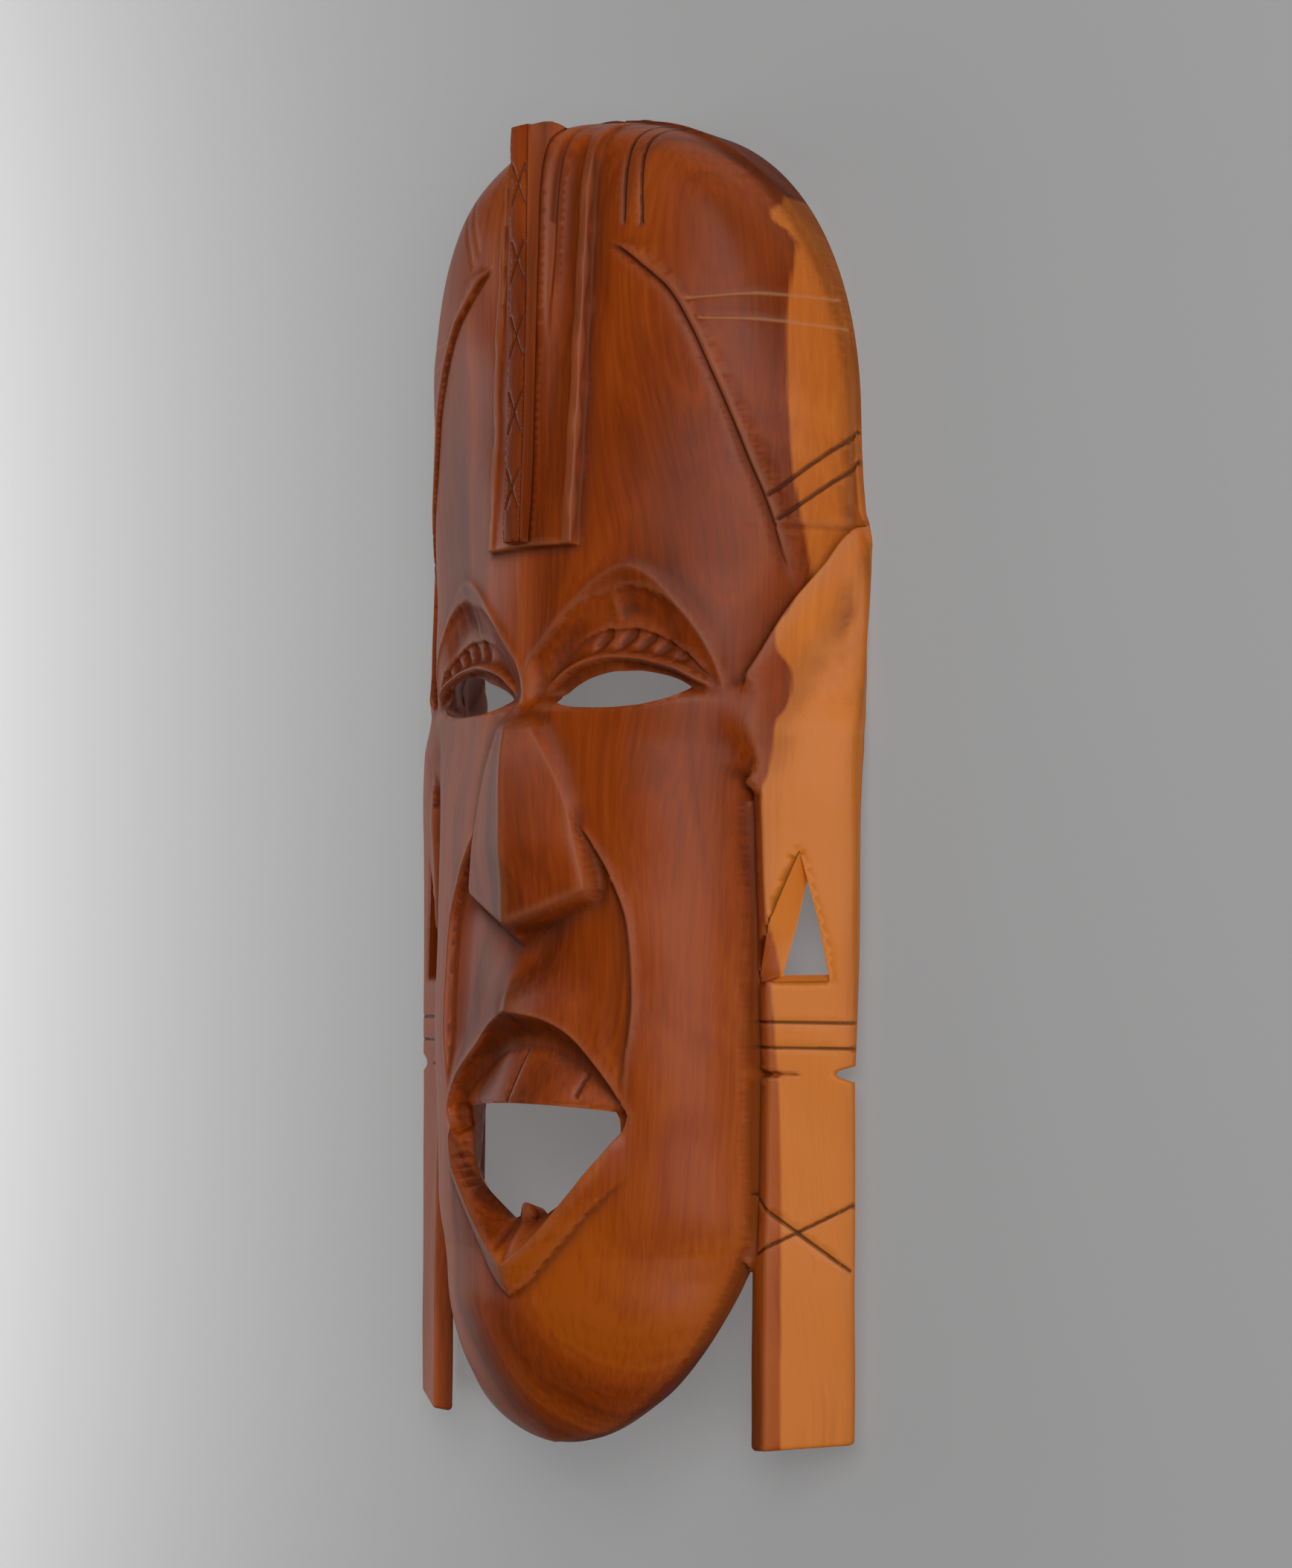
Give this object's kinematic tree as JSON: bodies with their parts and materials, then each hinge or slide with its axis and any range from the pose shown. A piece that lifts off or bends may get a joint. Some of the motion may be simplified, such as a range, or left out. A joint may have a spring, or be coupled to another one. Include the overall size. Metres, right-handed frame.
{
  "type": "carved wooden wall mask",
  "caption": "Long carved wooden mask with a standing comb, pierced eyes and open mouth, pendant ears with slots, and a hollow back.",
  "frame": {"origin": "the middle of the bounding box on the plane that the back of the rim lies on", "axes": "+X to the viewer's right, +Y from chin to crown, +Z out of the face"},
  "size_m": [0.2226, 0.5124, 0.0867],
  "materials": {
    "carved_wood": "red-brown heartwood with paler orange sapwood at the ears and the right of the crown, satin varnish"
  },
  "bodies": {
    "root": {"mask": "carved_wood"}
  },
  "joints": []
}
